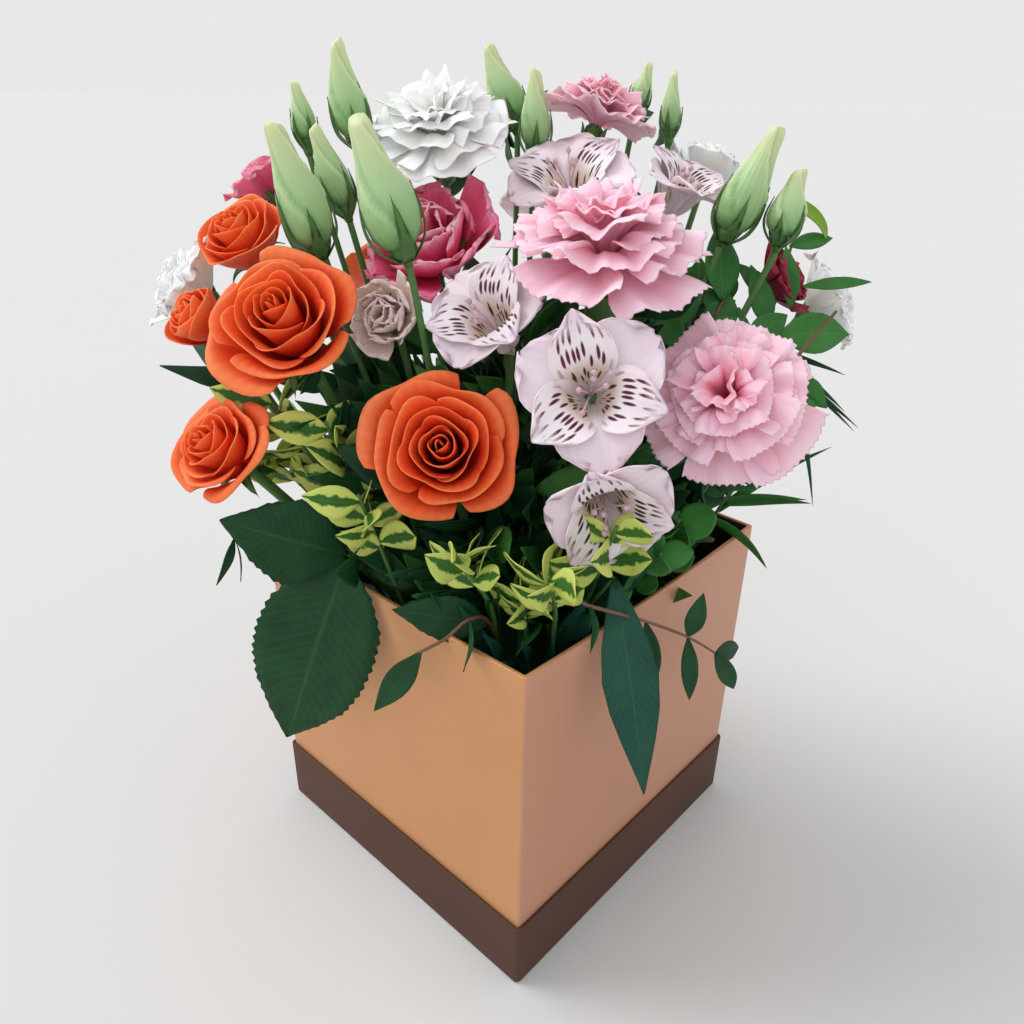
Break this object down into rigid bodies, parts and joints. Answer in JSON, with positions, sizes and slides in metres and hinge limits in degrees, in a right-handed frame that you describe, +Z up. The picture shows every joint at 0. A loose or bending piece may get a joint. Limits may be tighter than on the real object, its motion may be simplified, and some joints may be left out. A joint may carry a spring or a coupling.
{
  "type": "square flower box with arrangement",
  "caption": "Square copper card flower box standing in its upturned dark lid, with liner, wet foam and a dome of roses, carnations, alstroemeria, lisianthus and greens.",
  "frame": {"origin": "middle of the underside of the upturned lid, on the surface that the box stands on", "axes": "+Z up; the box's walls lie along X and Y, and its front corner points to -X and -Y"},
  "size_m": [0.2517, 0.2373, 0.3382],
  "materials": {
    "brown_card": "satin paper-wrapped board",
    "copper_card": "satin pearl copper paper over board",
    "lining_paper": "matt dark brown paper",
    "liner_plastic": "smooth dark plastic",
    "floral_foam": "wet crumbly green foam",
    "green_stem": "waxy green stem",
    "dark_leaf": "glossy dark leaf",
    "variegated_leaf": "yellow-edged green leaf",
    "green_leaf": "fresh green leaf",
    "orange_petal": "velvety petal",
    "carnation_petal": "matt ruffled petal",
    "alstroemeria_petal": "streaked satin petal",
    "white_petal": "matt white petal",
    "pink_petal": "matt pink petal",
    "cream_petal": "matt cream-pink petal",
    "crimson_petal": "velvety crimson petal",
    "bud_green": "waxy pale green bud"
  },
  "bodies": {
    "base_lid": {"base_lid": "brown_card"},
    "box": {"box_shell": "copper_card", "box_lining": "lining_paper"},
    "arrangement": {"liner_tray": "liner_plastic", "foam_block": "floral_foam", "rose_upper_left": "orange_petal", "rose_far_left": "orange_petal", "rose_bud_left": "orange_petal", "rose_back": "orange_petal", "carnation_top": "carnation_petal", "carnation_back": "carnation_petal", "alstroemeria_front": "alstroemeria_petal", "alstroemeria_low": "alstroemeria_petal", "alstroemeria_left": "alstroemeria_petal", "alstroemeria_top": "alstroemeria_petal", "alstroemeria_right": "alstroemeria_petal", "alstroemeria_back": "alstroemeria_petal", "lisianthus_white_top": "white_petal", "lisianthus_white_right": "white_petal", "lisianthus_white_back": "white_petal", "lisianthus_pink": "pink_petal", "lisianthus_pink_back": "pink_petal", "lisianthus_cream": "cream_petal", "lisianthus_crimson": "crimson_petal", "buds_small_left": "bud_green", "bud_pale_left": "bud_green", "bud_mid_left": "bud_green", "bud_front": "bud_green", "bud_top": "bud_green", "bud_top_right": "bud_green", "buds_small_right": "bud_green", "bud_far_right": "bud_green", "rose_stems": "green_stem", "carnation_stems": "green_stem", "alstroemeria_stems": "green_stem", "lisianthus_stems": "green_stem", "bud_stems": "green_stem", "rose_leaves_left": "dark_leaf", "rim_sprig_left": "dark_leaf", "euonymus_left": "variegated_leaf", "euonymus_front": "variegated_leaf", "long_leaf_front": "dark_leaf", "rim_sprig_right": "dark_leaf", "ruscus_right": "green_leaf", "boxwood_right": "green_leaf", "grass_right": "green_leaf"},
    "rose_front": {"rose_front": "orange_petal", "rose_front_stem": "green_stem"},
    "rose_low_left": {"rose_low_left": "orange_petal", "rose_low_left_stem": "green_stem"},
    "carnation_right": {"carnation_right": "carnation_petal", "carnation_right_stem": "green_stem"},
    "lisianthus_white_left": {"lisianthus_white_left": "white_petal", "lisianthus_white_left_stem": "green_stem"},
    "bud_tall_left": {"bud_tall_left": "bud_green", "bud_tall_left_stem": "green_stem"},
    "bud_right": {"bud_right": "bud_green", "bud_right_stem": "green_stem"}
  },
  "joints": [
    {"name": "box_lift", "type": "slide", "parent": "base_lid", "child": "box", "axis": [0, 0, 1], "range_m": [0, 0.06]},
    {"name": "liner_lift", "type": "slide", "parent": "box", "child": "arrangement", "axis": [0, 0, 1], "range_m": [0, 0.16]},
    {"name": "rose_front_draw", "type": "slide", "parent": "arrangement", "child": "rose_front", "axis": [-0.2461, 0.0156, 0.9691], "range_m": [0, 0.045]},
    {"name": "rose_low_left_draw", "type": "slide", "parent": "arrangement", "child": "rose_low_left", "axis": [-0.4987, 0.4366, 0.7488], "range_m": [0, 0.045]},
    {"name": "carnation_right_draw", "type": "slide", "parent": "arrangement", "child": "carnation_right", "axis": [0.1884, -0.4601, 0.8676], "range_m": [0, 0.045]},
    {"name": "lisianthus_white_left_draw", "type": "slide", "parent": "arrangement", "child": "lisianthus_white_left", "axis": [-0.265, 0.4145, 0.8706], "range_m": [0, 0.045]},
    {"name": "bud_tall_left_draw", "type": "slide", "parent": "arrangement", "child": "bud_tall_left", "axis": [-0.0606, 0.2169, 0.9743], "range_m": [0, 0.045]},
    {"name": "bud_right_draw", "type": "slide", "parent": "arrangement", "child": "bud_right", "axis": [0.2226, -0.1928, 0.9557], "range_m": [0, 0.045]}
  ]
}
